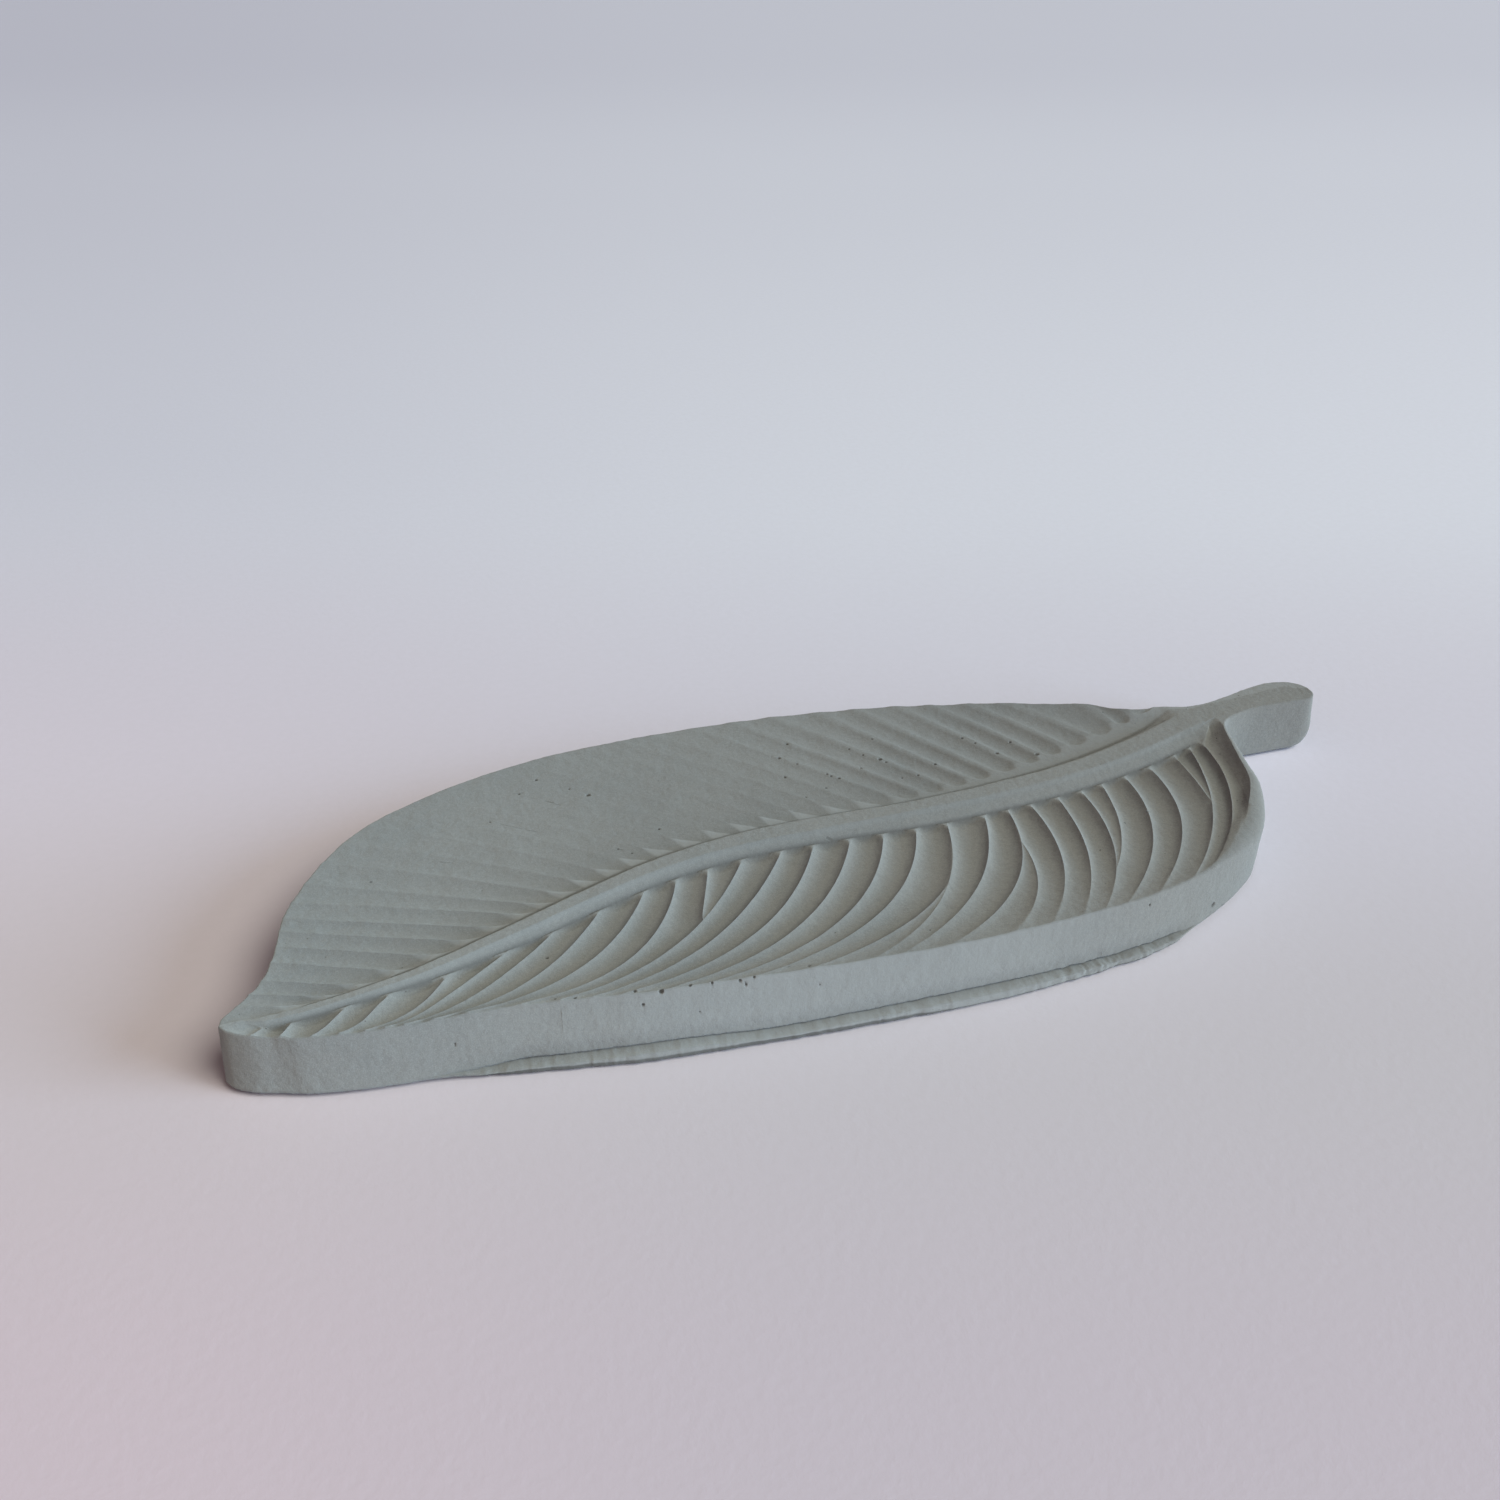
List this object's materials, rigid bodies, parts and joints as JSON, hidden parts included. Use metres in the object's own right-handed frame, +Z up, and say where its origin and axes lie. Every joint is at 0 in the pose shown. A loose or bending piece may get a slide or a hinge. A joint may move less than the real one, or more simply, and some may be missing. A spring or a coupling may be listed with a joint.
{
  "type": "leaf tray",
  "caption": "Cast stone tray in the shape of a curved leaf, with a raised midrib, carved vein flutes and a short stem, on thin rubber dots.",
  "frame": {"origin": "middle of the outline, on the surface that the dots stand on", "axes": "+X along the leaf from the tip to the stem, +Y across it to the far side, +Z up"},
  "size_m": [0.251, 0.1014, 0.0142],
  "materials": {
    "stone": "matte cast mineral with fine pores",
    "rubber": "matte"
  },
  "bodies": {
    "root": {"cast_leaf": "stone", "tip_dot": "rubber", "near_dot": "rubber", "far_dot": "rubber", "neck_dot": "rubber"}
  },
  "joints": []
}
